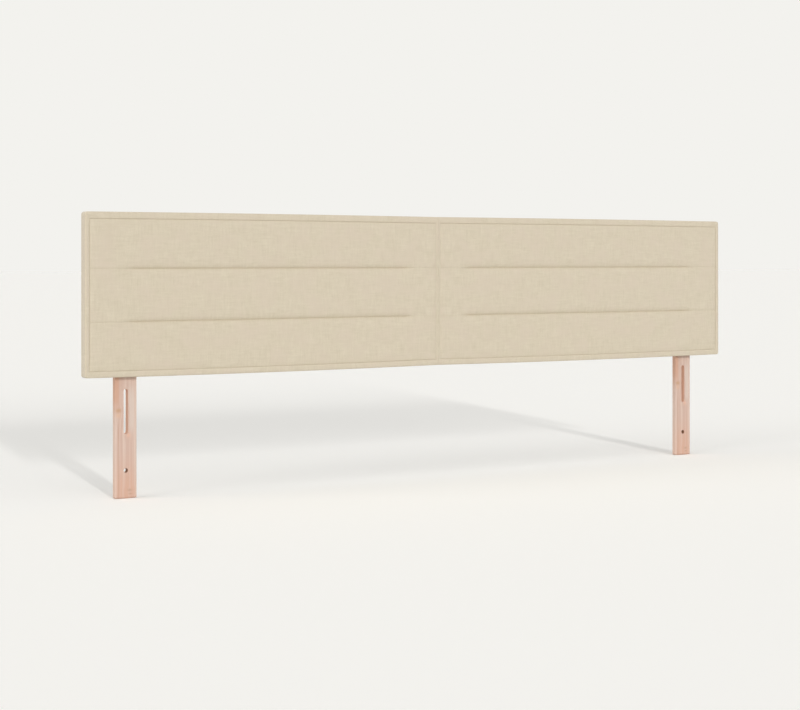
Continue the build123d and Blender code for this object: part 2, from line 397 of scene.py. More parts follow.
def faceDepth(x, z, seed, c=cushion):
    # Depth behind the crown: a rolled edge at the border seam, a rolled valley at each groove, a low
    # crown in each band, and ripples that die away from the stitched lines
    seamX = np.minimum(x - faceLow[0], faceHigh[0] - x)
    seamZ = np.minimum(z - faceLow[2], faceHigh[2] - z)
    nearest = np.minimum(seamX, seamZ)
    outer, inner = roll(x - faceLow[0], c["seamRoll"]), roll(faceHigh[0] - x, c["seamRoll"])
    edge = outer * roll(seamZ, c["seamRoll"]) * (1 - c["innerSeam"] * (1 - inner))
    depth = c["seamDepth"] * (1 - edge)
    # Painted shade: the crease shade darkens the cloth along the border seam, less where the panels meet,
    # and in each groove
    share = np.where((faceHigh[0] - x < x - faceLow[0]) & (seamX < seamZ), c["innerSeam"], 1)
    creaseShade = share * c["seamShade"] * np.exp(-nearest / c["creaseWidth"])
    fade = grooveFade(x)
    for number, height in enumerate(grooveHeights):
        away = np.abs(z - height)
        above, below = (ripple(x, seed + 10 * number + part, *c["puckerWaves"]) for part in (1, 2))
        puckers = np.where(z > height, above, below) * np.exp(-away / c["grooveRoll"])
        shaded = np.exp(-away / c["creaseWidth"])
        valley = np.clip(1 - away / c["grooveRoll"], 0, 1) ** c["grooveBow"]
        depth = depth + c["grooveDepth"] * fade * valley
        depth = depth + c["pucker"] * fade * puckers * (1 - shaded)
        creaseShade = np.maximum(creaseShade, fade * shaded)
    lines = [faceLow[2], *grooveHeights, faceHigh[2]]
    for low, high in zip(lines[:-1], lines[1:]):
        share = np.clip((z - low) / (high - low), 0, 1)
        inside = (z >= low) & (z <= high)
        depth = depth + np.where(inside, c["crown"] * (1 - 4 * share * (1 - share)), 0) * edge
    alongSeam = np.where(seamX < seamZ, ripple(z, seed + 3, *c["seamWaves"]),
                         ripple(x, seed + 4, *c["seamWaves"]))
    depth = depth + c["pucker"] * alongSeam * np.exp(-nearest / c["seamRoll"]) * edge
    depth = depth + c["slack"] * swell(x, z, seed + 5, *c["slackWaves"]) * edge
    return np.maximum(depth, 0), creaseShade


settling = {
    "columns": 122,
    "rows": 47,
    "frames": 20,
    "pressure": 4.0,
    "shrink": -0.004,
    "cap": 1.1 * mm,
    "heldReach": 0.51,  # rows of the grid, on both sides of a groove
    "heldFade": 0.5,  # a groove is held where it is deeper than this share
}


def heldPlaces(gridX, gridZ, c=settling):
    # True along the rim and along the deep part of each groove
    near = grooveDistance(gridZ) < (gridZ[1, 0] - gridZ[0, 0]) * c["heldReach"]
    held = near & (grooveFade(gridX) > c["heldFade"])
    held.flat[rimNumbers(*gridX.shape)] = True
    return held


def settledCloth(seed, c=settling):
    # The cloth let go over the pad by simulation: a closed slab of two coarse grids whose rim, back and
    # stitched lines are held is blown out. Gives the two lines of places and how far each front point
    # moved forwards, capped.
    x = np.linspace(faceLow[0], faceHigh[0], c["columns"])
    z = np.linspace(faceLow[2], faceHigh[2], c["rows"])
    gridZ, gridX = np.meshgrid(z, x, indexing="ij")
    depth, _ = faceDepth(gridX, gridZ, seed)
    front = np.stack([gridX, faceLow[1] + depth, gridZ], -1)
    back = front.copy()
    back[..., 1] = boardFront
    size, rim, quads = gridX.size, rimNumbers(*gridX.shape), gridQuads(*gridX.shape)
    slab = meshObject("left", "SettlingSlab", np.concatenate([front, back]),
                      np.concatenate([quads, quads[:, ::-1] + size, wallQuads(rim, rim + size)]))
    held = slab.vertex_groups.new(name="held")
    held.add(np.flatnonzero(heldPlaces(gridX, gridZ)).tolist(), 1.0, "REPLACE")
    held.add(list(range(size, 2 * size)), 1.0, "REPLACE")
    cloth = slab.modifiers.new("settling", "CLOTH")
    cloth.settings.vertex_group_mass = "held"
    cloth.settings.use_pressure = True
    cloth.settings.uniform_pressure_force = c["pressure"]
    cloth.settings.shrink_min = c["shrink"]
    cloth.settings.effector_weights.gravity = 0
    cloth.collision_settings.use_collision = False
    cloth.point_cache.frame_end = c["frames"]
    for frameNumber in range(1, c["frames"] + 1):
        scene.frame_set(frameNumber)
    result = slab.evaluated_get(bpy.context.evaluated_depsgraph_get()).to_mesh()
    moved = front[..., 1] - pointsOf(result)[:size, 1].reshape(gridX.shape)
    print("cloth settled, moved forwards by up to", round(moved.max() / mm, 2), "mm")
    bpy.data.objects.remove(slab)
    scene.frame_set(1)
    return x, z, c["cap"] * np.tanh(moved / c["cap"])


def splineWeights(fine, coarse):
    # Cubic B-spline weights that carry values from evenly spaced places to finer ones
    away = np.abs(fine[:, None] - coarse[None, :]) / (coarse[1] - coarse[0])
    tails = np.clip(2 - away, 0, 2) ** 3 / 6
    weights = np.where(away < 1, (4 - 6 * away ** 2 + 3 * away ** 3) / 6, tails)
    return weights / weights.sum(1, keepdims=True)


def paddedFace(side, seed, c=cushion):
    # The face is a grid over X and Z, its rim goes back to the board, and a flat back closes it. The
    # settled cloth lifts it, by less near a seam or a groove: by a share 1 - exp(-distance / roll).
    x = gradedLine([faceLow[0], faceHigh[0]], c["fine"], c["coarse"], c["reach"])
    z = gradedLine([faceLow[2], *grooveHeights, faceHigh[2]], c["fine"], c["coarse"], c["reach"])
    gridZ, gridX = np.meshgrid(z, x, indexing="ij")
    depth, creaseShade = faceDepth(gridX, gridZ, seed)
    coarseX, coarseZ, moved = settledCloth(seed)
    puff = splineWeights(z, coarseZ) @ moved @ splineWeights(x, coarseX).T
    offSeam = 1 - np.exp(-np.minimum(*rimDistances(gridX, gridZ)) / c["seamRoll"])
    offGroove = 1 - grooveFade(gridX) * np.exp(-grooveDistance(gridZ) / c["seamRoll"])
    depth = np.maximum(depth - puff * (offSeam * offGroove), 0)
    front = np.stack([gridX, faceLow[1] + depth, gridZ], -1).reshape(-1, 3)
    rim = rimNumbers(*gridX.shape)
    back = front[rim].copy()
    back[:, 1] = boardFront
    backNumbers = gridX.size + np.arange(len(rim))
    points = np.concatenate([front, back])
    uv = points[:, [0, 2]]
    # The rim walls take the full painted crease shade
    shade = np.concatenate([creaseShade.ravel(), np.ones(len(rim))])
    quads = np.concatenate([gridQuads(*gridX.shape), wallQuads(rim, backNumbers)])
    return meshObject(side, "PaddedFace", bowed(points), quads, uv, shade, [backNumbers[::-1].tolist()])


for side, seed in seeds["face"].items():
    piece = dress(paddedFace(side, seed), creamWeave)
    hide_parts(side + "_cover_face", side + "_foam_pad")
print("padded faces made")


# Small repeated things: a short bent tube, set down many times

def repeatedTube(side, name, path, radius, places, along, outwards, corners=6):
    # Rings of a regular polygon stand across each point of a flat path (u along, w outwards). Each copy
    # is u times its own direction, plus w times outwards, plus v times their cross product.
    radius = np.broadcast_to(radius, len(path))
    lean = np.gradient(path, axis=0)
    lean /= np.linalg.norm(lean, axis=1, keepdims=True)
    turn = np.linspace(0, 2 * math.pi, corners, endpoint=False)
    u = path[:, 0, None] - lean[:, 1, None] * radius[:, None] * np.cos(turn)
    w = path[:, 1, None] + lean[:, 0, None] * radius[:, None] * np.cos(turn)
    v = radius[:, None] * np.sin(turn)
    across = np.cross(along, outwards)
    copies = places[:, None, None, :]
    for amount, direction in ((u, along), (w, outwards), (v, across)):
        copies = copies + amount[None, :, :, None] * direction[:, None, None, :]
    size = len(path) * corners
    start = np.arange(len(places)) * size
    quads = (start[:, None, None] + gridQuads(len(path), corners, closed=True)).reshape(-1, 4)
    ring = np.arange(corners)
    caps = np.concatenate([start[:, None] + ring[::-1], start[:, None] + size - corners + ring])
    return meshObject(side, name, copies, quads, extra=caps.tolist())


# Thread of the stitches along the grooves

thread = {
    "pitch": 5.0 * mm,
    "length": 3.7 * mm,
    "radius": 0.34 * mm,
    "sink": 0.5 * mm,
    "rise": 0.22 * mm,
    "shown": 0.45,  # stitches stop where the groove has faded below this share
    # Shares of half the length and of the sink, and of the radius
    "path": [(-1, -1), (-0.82, -0.1), (0, 0), (0.82, -0.1), (1, -1)],
    "radii": (0.7, 1, 1, 1, 0.7),
    "light": (0.735, 0.660, 0.525),
    "dark": (0.560, 0.480, 0.350),
    "twist": (9000.0, 6000.0),  # turns of phase for a metre along and up
    "relief": (0.4, 0.1 * mm),
}


def threadMaterial(look=thread):
    # Twisted thread: a slanting sine of the place along and up the stitch
    m = Shading("coverThread")
    x, _, z = m.parts(m.coordinates("Object"))
    slant = m.plus(m.times(x, look["twist"][0]), m.times(z, look["twist"][1]))
    twist = m.timesPlus(m.calc("SINE", slant), 0.5, 0.5)
    return m.finished({
        "Base Color": m.blend(twist, look["dark"], look["light"]),
        "Roughness": 0.7,
        "Sheen Weight": 0.2,
        "Normal": m.bump(twist, *look["relief"]),
    })


coverThread = threadMaterial()


def grooveStitches(side, seed, c=thread):
    # One stitch each pitch where the groove is deep enough, lying on its bottom line
    places = []
    for height in grooveHeights:
        x = np.arange(bandLow[0] + c["pitch"], bandHigh[0], c["pitch"])
        x = x[grooveFade(x) > c["shown"]]
        z = np.full(len(x), height)
        depth, _ = faceDepth(x, z, seed)
        places.append(np.stack([x, faceLow[1] + depth - c["rise"], z], -1))
    places = np.concatenate(places)
    path = np.array(c["path"]) * (c["length"] / 2, c["sink"])
    along = np.broadcast_to([1.0, 0, 0], places.shape)
    outwards = np.broadcast_to([0, -1.0, 0], places.shape)
    return repeatedTube(side, "GrooveStitches", path, c["radius"] * np.array(c["radii"]), places,
                        along, outwards)


for side, seed in seeds["face"].items():
    dress(grooveStitches(side, seed), coverThread)
print("stitches made")


# Border band of each panel: margin, rounded edge, side and hem, carried round the panel

band = {
    # At the lower left, lower right, upper right and upper left corner
    "corners": np.array([5.5, 1.6, 1.6, 7.0]) * mm,
    # At the outer, inner, lower and upper side: radius of the front edge, draw of the side towards the
    # back, and share of the painted crease shade on the front edge: partly wear, partly painted shade
    # that dims the edge's highlight
    "rounds": np.array([3.2, 0.5, 3.2, 3.2]) * mm,
    "tapers": np.array([0.1, 0.0, 0.1, 0.1]) * mm,
    "wearAndShade": np.array([0.52, 0.25, 0.25, 0.25]),
    "wearAndShadeWidth": 3.2 * mm,
    "leastCorner": 0.5 * mm,
    "taperBow": 1.5,
    "tuck": 0.1 * mm,  # how far the first row reaches in under the face
    "lip": 2.2 * mm,
    "backRound": 3.0 * mm,
    "hem": 35 * mm,
    "thickness": 1.2 * mm,
    "crown": 0.35 * mm,
    "ripple": 0.22 * mm,
    "rippleWaves": (0.08, 0.018),
    "rippleEnds": 20 * mm,  # the ripples fade where the band closes
    "spacing": 6 * mm,
    "arcPlaces": 7,
    "rows": {"lip": 7, "margin": 4, "edge": 9, "side": 7, "back": 5, "hem": 8},
    "measuredRow": 15,  # where the cloth's map takes its lengths along and across
    "measuredColumn": 40,
}
edgeStart = 1 + band["rows"]["lip"] + band["rows"]["margin"]  # first row of the rounded front edge
edgeMiddle = edgeStart + band["rows"]["edge"] // 2
edgeEnd = edgeStart + band["rows"]["edge"] - 1


def outlinePath(c=band):
    # The way round a rounded rectangle from the upper end of its lower left corner: for each place the
    # corner it belongs to, the next one, the share of the way to it, and the outward direction
    straights = [int((bandHigh[n] - bandLow[n]) / c["spacing"]) for n in (0, 2)]
    index, share, angle = [], [], []
    for corner in range(4):  # lower left, lower right, upper right, upper left
        start = math.pi + corner * rightAngle
        count = straights[corner % 2]
        index += [corner] * (c["arcPlaces"] + count)
        share += [0.0] * c["arcPlaces"] + list(np.linspace(0, 1, count + 2)[1:-1])
        angle += list(start + np.linspace(0, rightAngle, c["arcPlaces"])) + [start + rightAngle] * count
    index = np.array(index)
    return index, (index + 1) % 4, np.array(share), np.stack([np.cos(angle), np.sin(angle)], -1)


def bandRows(c=band):
    # The profile, from inside the seam round to the inner end of the hem: for each row its insets and
    # its levels at the outer, inner, lower and upper side
    insetSeam = np.array([faceLow[0] - bandLow[0], bandHigh[0] - faceHigh[0],
                          faceLow[2] - bandLow[2], bandHigh[2] - faceHigh[2]])
    rows, rounds, tapers, backRound = c["rows"], c["rounds"], c["tapers"], c["backRound"]
    margin, hem = bandLow[1], bandHigh[1]
    seamLevel = faceLow[1] + cushion["seamDepth"] * np.array([1, cushion["innerSeam"], 1, 1])
    insets, levels = [insetSeam + c["tuck"]], [seamLevel + c["thickness"]]
    for turn in np.linspace(0, rightAngle, rows["lip"]):  # lip: a quarter ellipse out of the seam
        insets.append(insetSeam - c["lip"] * (1 - math.cos(turn)))
        levels.append(seamLevel + (margin - seamLevel) * math.sin(turn))
    start = insetSeam - c["lip"]
    for share in np.linspace(0, 1, rows["margin"] + 2)[1:-1]:  # margin: nearly flat, with a low crown
        insets.append(start + (rounds - start) * share)
        levels.append(np.full(4, margin - c["crown"] * 4 * share * (1 - share)))
    for turn in np.linspace(0, rightAngle, rows["edge"]):  # rounded front edge
        insets.append(rounds * (1 - math.sin(turn)))
        levels.append(margin + rounds * (1 - math.cos(turn)))
    sideStart, sideEnd = margin + rounds, hem - backRound
    for share in np.linspace(0, 1, rows["side"] + 1)[1:]:  # side: drawn in towards the back
        insets.append(tapers * share ** c["taperBow"])
        levels.append(sideStart + (sideEnd - sideStart) * share)
    for turn in np.linspace(0, rightAngle, rows["back"] + 1)[1:]:  # rounded back edge
        insets.append(tapers + backRound * (1 - math.cos(turn)))
        levels.append(np.full(4, sideEnd + backRound * math.sin(turn)))
    hemStart = tapers + backRound
    for share in np.linspace(0, 1, rows["hem"] + 1)[1:]:  # hem on the back
        insets.append(hemStart + (c["hem"] - hemStart) * share)
        levels.append(np.full(4, hem))
    return np.array(insets), np.array(levels)


def lengthAlong(points):
    return np.concatenate([[0], np.cumsum(np.linalg.norm(np.diff(points, axis=0), axis=-1))])


def borderBand(side, seed, c=band):
    # Each row of the profile is a rounded rectangle of its own insets. A place on it lies between two
    # corner centres, moved outwards by the corner's radius along the outward direction.
    index, following, share, outward = outlinePath()
    insets, levels = bandRows()
    upright, level = insets[:, [0, 1, 1, 0]], insets[:, [2, 2, 3, 3]]  # of the sides at each corner
    radii = np.maximum(c["corners"] - np.minimum(upright, level), c["leastCorner"])

    def between(values):
        return values[:, index] * (1 - share) + values[:, following] * share

    places = []
    for axis, inset, ends in ((0, upright, [-1, 1, 1, -1]), (2, level, [-1, -1, 1, 1])):
        ends = np.array(ends)  # -1 at the corners of the low side, 1 at those of the high one
        centres = np.where(ends < 0, bandLow[axis], bandHigh[axis]) - ends * inset - ends * radii
        places.append(between(centres) + between(radii) * outward[:, axis // 2])
    x, z = outward.T
    weights = np.maximum(np.stack([-x, x, -z, z], -1), 0) ** 2
    points = np.stack([places[0], levels @ weights.T, places[1]], -1)
    rows, columns = points.shape[:2]
    along = lengthAlong(points[c["measuredRow"]])
    across = lengthAlong(points[:, c["measuredColumn"]])
    waveRow = np.sin(np.linspace(0, math.pi, rows)) ** 0.5 * (np.arange(rows) < edgeEnd)
    waveColumn = ease(np.minimum(along, along[-1] - along) / c["rippleEnds"])
    waveColumn = c["ripple"] * waveColumn * ripple(along, seed, *c["rippleWaves"])
    points[..., 1] += waveColumn[None, :] * waveRow[:, None]
    uv = np.stack(np.broadcast_arrays(along[None, :], across[:, None]), -1)
    faint = weights @ np.array([1, cushion["innerSeam"], 1, 1])
    # Painted shade: the crease shade darkens the cloth beside the seam, less where the panels meet, and
    # on the rounded front edge, partly as wear and partly as painted shade that dims its highlight
    seam = cushion["seamShade"] * np.exp(-across / cushion["creaseWidth"])[:, None] * faint
    edge = np.exp(-((across - across[edgeMiddle]) / c["wearAndShadeWidth"]) ** 2)[:, None] * (weights @ c["wearAndShade"])
    quads = gridQuads(rows, columns, closed=True)[:, ::-1]
    piece = meshObject(side, "BorderBand", bowed(points), quads, uv, np.maximum(seam, edge))
    wall = piece.modifiers.new("clothThickness", "SOLIDIFY")
    wall.thickness = c["thickness"]
    wall.offset = -1
    return piece


for side, seed in seeds["band"].items():
    piece = dress(borderBand(side, seed), creamWeave)
    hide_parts(side + "_cover_border")
print("border bands made")


# Lining of the back: a thin sheet over the hem, and the staples that hold both

lining = {
    "spacing": 7 * mm,
    "thickness": 0.4 * mm,
    "scallop": 0.9 * mm,
    "scallopReach": 14 * mm,
    "slack": 0.22 * mm,
    "slackWaves": (0.30, 0.06),
    "flatBesideLeg": 30 * mm,  # from the middle of the leg
    "flatBesidePlate": 5 * mm,
    "flatReach": 50 * mm,  # from there to where it is slack
    "rimReach": 40 * mm,
    "colour": (0.060, 0.060, 0.063),
    "dotColour": (0.038, 0.038, 0.040),
    "dotPitch": 2.6 * mm,
    "dotSpan": (0.35, 0.75),
    "dotShare": 0.7,
    "fibres": ((700, 160, 1), 4, 0.7),
    "clouds": ((40, 40, 1), 3),
    "fibreShare": 0.6,
    "fibreSpan": (0.35, 0.85),
    "relief": (0.5, 0.15 * mm),
}
staples = {
    "pitch": 40 * mm,
    "inset": 7 * mm,
    "crown": 10 * mm,
    "wire": 0.45 * mm,
    "sink": 1.1 * mm,
    # Shares of half the crown and of the sink
    "path": [(-1, -1), (-1, -0.2), (-0.9, 0), (0.9, 0), (1, -0.2), (1, -1)],
    "lift": 0.3,  # of the wire's radius, out of the lining
    "tilt": 0.10,
    "strayAlong": 2 * mm,
    "strayAcross": 1.2 * mm,
    "legRoom": 6 * mm,
}
legX = (legLow[0] + legHigh[0]) / 2
plateBoxes = [boxOf(level + "_joining_plate") for level in ("lower", "upper")]


def liningMaterial(look=lining):
    # Bonded fibres with rows of small pressed dots, every second row half a step aside: the product of
    # a sine of u + v and a sine of u - v
    m = Shading("darkLining")
    cloth = m.coordinates("UV")
    u, v, _ = m.parts(cloth)
    rate = math.pi / look["dotPitch"]
    pressed = m.step(m.times(m.sine(m.plus(u, v), rate), m.sine(m.minus(u, v), rate)), *look["dotSpan"])
    fibres = m.timesPlus(m.noise(cloth, *look["fibres"]), look["fibreShare"],
                         m.times(m.noise(cloth, *look["clouds"]), look["fibreShare"]))
    colour = m.blend(m.fromTo(fibres, *look["fibreSpan"]), look["dotColour"], look["colour"])
    return m.finished({
        "Base Color": m.blend(m.times(pressed, look["dotShare"]), colour, look["dotColour"]),
        "Roughness": 0.85,
        "Specular IOR Level": 0.3,
        "Sheen Weight": 0.1,
        "Normal": m.bump(m.minus(fibres, pressed), *look["relief"]),
    })


def backLining(side, seed, c=lining):
    # A flat grid whose rim draws in between the staples: inwards by the scallop times the squared sine
    # of the place along the rim. Low ripples stand out behind, but not under the leg and the plates.
    size = liningHigh - liningLow
    x = np.linspace(liningLow[0], liningHigh[0], int(size[0] / c["spacing"]))
    z = np.linspace(liningLow[2], liningHigh[2], int(size[2] / c["spacing"]))
    gridZ, gridX = np.meshgrid(z, x, indexing="ij")
    middle = (liningLow + liningHigh) / 2
    rimX, rimZ = rimDistances(gridX, gridZ)

    def drawn(place, away, inwards):
        scallops = np.sin(math.pi * place / staples["pitch"]) ** 2
        return c["scallop"] * scallops * np.exp(-away / c["scallopReach"]) * np.sign(inwards)

    free = ease((np.abs(gridX - legX) - c["flatBesideLeg"]) / c["flatReach"])
    free = free * ease((plateBoxes[0][0][0] - c["flatBesidePlate"] - gridX) / c["flatReach"])
    free = free * ease(np.minimum(rimX, rimZ) / c["rimReach"])
    slack = c["slack"] * (1 + swell(gridX, gridZ, seed, *c["slackWaves"])) * free
    points = np.stack([gridX + drawn(gridZ - z[0], rimX, middle[0] - gridX), middle[1] + slack,
                       gridZ + drawn(gridX - x[0], rimZ, middle[2] - gridZ)], -1)
    piece = meshObject(side, "BackLining", points, gridQuads(*gridX.shape)[:, ::-1],
                       np.stack([gridX, gridZ], -1))
    wall = piece.modifiers.new("sheetThickness", "SOLIDIFY")
    wall.thickness = c["thickness"]
    wall.offset = 0
    return piece


def liningStaples(side, seed, c=staples):
    # One staple each pitch along the four edges, a little tilted, none under the leg or a plate
    draw = np.random.default_rng(seed)
    low, high = liningLow + c["inset"], liningHigh - c["inset"]
    edges = []
    for axis, turned in ((0, 0), (2, rightAngle)):  # the two level edges, then the two upright ones
        for fixed in (low[2 - axis], high[2 - axis]):
            span = high[axis] - low[axis]
            count = int(round(span / c["pitch"]))
            run = low[axis] + (np.arange(count) + 0.5) * span / count
            run = run + draw.uniform(-c["strayAlong"], c["strayAlong"], count)
            rest = fixed + draw.uniform(-c["strayAcross"], c["strayAcross"], count)
            angle = draw.uniform(-c["tilt"], c["tilt"], count) + turned
            edges.append([rest, run, angle] if turned else [run, rest, angle])
    x, z, angle = np.concatenate(edges, axis=1)
    legReach = (legHigh[0] - legLow[0]) / 2 + c["crown"] / 2 + c["legRoom"]
    clear = (np.abs(x - legX) > legReach) | (z > legHigh[2] + c["legRoom"])
    for plateLow, plateHigh in plateBoxes:
        outside = (z < plateLow[2] - c["legRoom"]) | (z > plateHigh[2] + c["legRoom"])
        clear &= (x < plateLow[0] - c["legRoom"]) | outside
    x, z, angle = x[clear], z[clear], angle[clear]
    level = (liningLow[1] + liningHigh[1]) / 2 + lining["thickness"] / 2 + c["lift"] * c["wire"]
    places = np.stack([x, np.full(len(x), level), z], -1)
    path = np.array(c["path"]) * (c["crown"] / 2, c["sink"])
    along = np.stack([np.cos(angle), np.zeros(len(x)), np.sin(angle)], -1)
    outwards = np.broadcast_to([0, 1.0, 0], places.shape)
    return repeatedTube(side, "LiningStaples", path, c["wire"], places, along, outwards)


darkLining = liningMaterial()
for side, seed in seeds["lining"].items():
    piece = dress(backLining(side, seed), darkLining)
    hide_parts(side + "_back_lining")
print("linings made")


# Legs: larch wood with an eased foot

larchLook = {
    "light": (0.702, 0.545, 0.462),
    "middle": (0.622, 0.446, 0.370),
    "dark": (0.470, 0.260, 0.180),
    "red": (0.600, 0.350, 0.245),
    "pale": (0.676, 0.570, 0.496),
    "foot": (0.645, 0.395, 0.290),
    # Noise: its rate across, through and up the leg, detail, roughness and offset
    "bends": ((9, 9, 3.5),),
    "rings": ((210, 60, 2.2), 3, 0.55),
    "streaks": ((900, 500, 9), 3, 0.6),
    "broad": ((38, 20, 2.5), 2, 0.5, (0.013, 0, 0.1)),
    "bend": 12 * mm,
    # Spans of noise, of heights from the foot and of places across from the middle, and their shares
    "middleSpan": (0.36, 0.62),
    "streakSpan": (0.35, 0.8, 0.0, 0.45),
    "paleSpan": (0.5, 0.75, 0.0, 0.55),
    "footHeights": (0.13, 0.02, 0.0, 0.8),
    "footRings": (0.3, 0.6, 0.4, 1.0),
    "redPlaces": (-0.013, -0.021, 0.0, 0.85),
    "redHeights": (0.19, 0.25),
    "belowHeights": (0.20, 0.16),
    "streakPlace": -0.0195,
    "streakAway": (0.0, 0.0032, 0.40, 0.0),
    "rimHighlightPlaces": (-0.0225, -0.0250, 0.0, 0.4),
    "patchPlace": 0.015,
    "patchAway": (0.004, 0.009, 1.0, 0.0),
    "patchHeight": 0.215,
    "patchAwayUp": (0.030, 0.075, 0.65, 0.0),
    "soleShadeHeights": (0.0060, 0.0010, 0.0, 0.45),
    # Cut walls of slot and hole: half width, lowest and highest place up the leg, and painted colour:
    # lighter in the slot, as painted light, and darker in the hole, as painted shade
    "paintedOpeningWalls": [
        (0.0062, 0.155, 0.269, (0.850, 0.560, 0.420)),
        (0.0062, 0.061, 0.075, (0.430, 0.240, 0.150)),
    ],
    "wallStart": 0.4 * mm,  # behind the leg's faces
    # Knots: place across and up the leg, half width and half height, colour and share
    "knots": [
        (-0.0190, 0.2145, 0.0095, 0.0070, (0.540, 0.325, 0.200), 0.90),
        (-0.0195, 0.202, 0.0070, 0.0070, (0.700, 0.455, 0.310), 0.70),
        (0.0065, 0.154, 0.0065, 0.0080, (0.735, 0.455, 0.330), 0.70),
        (0.0105, 0.020, 0.0075, 0.0042, (0.530, 0.335, 0.245), 0.95),
        (0.0120, 0.011, 0.0060, 0.0028, (0.530, 0.335, 0.245), 0.85),
    ],
    "knotFall": 1.6,
    "pullFall": 0.35,
    "pull": 0.5,
    "relief": (0.25, 0.3 * mm),
}


def larchMaterial(side, look=larchLook):
    # Long grain up the leg, a redder band at one edge, and a few small knots. Over them, a painted
    # highlight lights the left edge and side, painted shade darkens the sole, and the walls of slot and
    # hole are painted lighter and darker. With r² the squared distance from a knot in half sizes and d
    # the one across, the knot shows by exp(-fall r²), and the grain is pulled aside by d exp(-pull fall
    # r²) times a share of its half width.
    m = Shading(side + "Larch")
    low, high = boxOf(side + "_leg")
    centre = (low + high) / 2
    place = m.stretched(m.coordinates("Object"), (1, 1, 1), (-centre[0], -centre[1], 0))
    x, y, z = m.parts(place)
    across = m.plus(x, m.times(m.minus(m.noise(place, *look["bends"]), 0.5), look["bend"]))
    knots = []
    for knotX, knotZ, halfWidth, halfHeight, knotColour, share in look["knots"]:
        dx = m.calc("DIVIDE", m.minus(x, knotX), halfWidth)
        dz = m.calc("DIVIDE", m.minus(z, knotZ), halfHeight)
        squared = m.plus(m.times(dx, dx), m.times(dz, dz))
        pulled = m.times(dx, m.calc("EXPONENT", m.times(squared, -look["pullFall"])))
        across = m.timesPlus(pulled, -look["pull"] * halfWidth, across)
        mask = m.calc("EXPONENT", m.times(squared, -look["knotFall"]))
        knots.append((m.times(mask, share), knotColour))
    grain = m.add("CombineXYZ", (across, y, z))[0]
    rings, streaks, broad = (m.noise(grain, *look[name]) for name in ("rings", "streaks", "broad"))
    below = m.step(z, *look["belowHeights"])
    streak = m.fromTo(m.away(across, look["streakPlace"]), *look["streakAway"])
    layers = [
        (m.fromTo(streaks, *look["streakSpan"]), look["dark"]),
        (m.fromTo(broad, *look["paleSpan"]), look["pale"]),
        (m.times(m.step(z, *look["footHeights"]), m.fromTo(rings, *look["footRings"])), look["foot"]),
        (m.times(m.step(across, *look["redPlaces"]), m.step(z, *look["redHeights"])), look["red"]),
        (m.times(streak, below), look["dark"]),
        # Painted highlight: lighter along the left edge and side of the leg, where light from the left
        # falls
        (m.times(m.step(across, *look["rimHighlightPlaces"]), below), look["light"]),
        (m.times(m.step(m.away(across, look["patchPlace"]), *look["patchAway"]),
                 m.step(m.away(z, look["patchHeight"]), *look["patchAwayUp"])), look["pale"]),
        *knots,
        # Painted shade: darker along the bottom few millimetres of the foot, where it meets the floor
        (m.step(z, *look["soleShadeHeights"]), look["dark"]),
    ]
    inside = m.calc("LESS_THAN", m.away(y), (high[1] - low[1]) / 2 - look["wallStart"])
    # Painted light and shade: the slot's walls take a lighter colour and the hole's walls a darker one
    for halfWidth, lowest, highest, paintedWallColour in look["paintedOpeningWalls"]:
        upright = m.times(m.calc("GREATER_THAN", z, lowest), m.calc("LESS_THAN", z, highest))
        within = m.times(m.calc("LESS_THAN", m.away(x), halfWidth), upright)
        layers.append((m.times(within, inside), paintedWallColour))
    colour = m.blend(m.fromTo(rings, *look["middleSpan"]), look["light"], look["middle"])
    for share, layerColour in layers:
        colour = m.blend(share, colour, layerColour)
    return m.finished({
        "Base Color": colour,
        "Roughness": 0.62,
        "Specular IOR Level": 0.35,
        "Normal": m.bump(streaks, *look["relief"]),
    })


footEasing = {
    "radius": (3.5 * mm, 2.2 * mm),  # across the leg and through it
    "rowShares": (0.08, 0.20, 0.38, 0.60, 0.80, 1.0),
    "weld": 0.001 * mm,
    "sharpAngle": math.radians(30),
}


def slottedLeg(side, c=footEasing):
    # The leg's own shape with an eased foot: below the radius r, each half width is drawn in by
    # r - sqrt(r² - (r - z)²), on rows cut at shares of the radius
    low, high = boxOf(side + "_leg")
    shape = bmesh.new()
    shape.from_mesh(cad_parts[side + "_leg"].data)
    bmesh.ops.remove_doubles(shape, verts=shape.verts, dist=c["weld"])
    for height in sorted({share * radius for share in c["rowShares"] for radius in c["radius"]}):
        everything = shape.verts[:] + shape.edges[:] + shape.faces[:]
        bmesh.ops.bisect_plane(shape, geom=everything, dist=c["weld"], plane_co=(0, 0, height),
                               plane_no=(0, 0, 1))
    mesh = bpy.data.meshes.new(side + "SlottedLeg")
    shape.to_mesh(mesh)
    shape.free()
    points = pointsOf(mesh)
    for axis, radius in enumerate(c["radius"]):
        middle, half = (low[axis] + high[axis]) / 2, (high[axis] - low[axis]) / 2
        drawnIn = radius * (1 - roll(points[:, 2], radius))
        points[:, axis] = middle + (points[:, axis] - middle) * (half - drawnIn) / half
    mesh.vertices.foreach_set("co", points.ravel())
    if "custom_normal" in mesh.attributes:
        mesh.attributes.remove(mesh.attributes["custom_normal"])
    mesh.shade_smooth()
    mesh.set_sharp_from_angle(angle=c["sharpAngle"])
    mesh.update()
    return addObject(side + "SlottedLeg", mesh)


for side in ("left", "right"):
    piece = dress(slottedLeg(side), larchMaterial(side))
    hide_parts(side + "_leg")
    print(side, "leg:", len(piece.data.polygons), "faces")
print("legs finished")


# Inner pieces and fittings

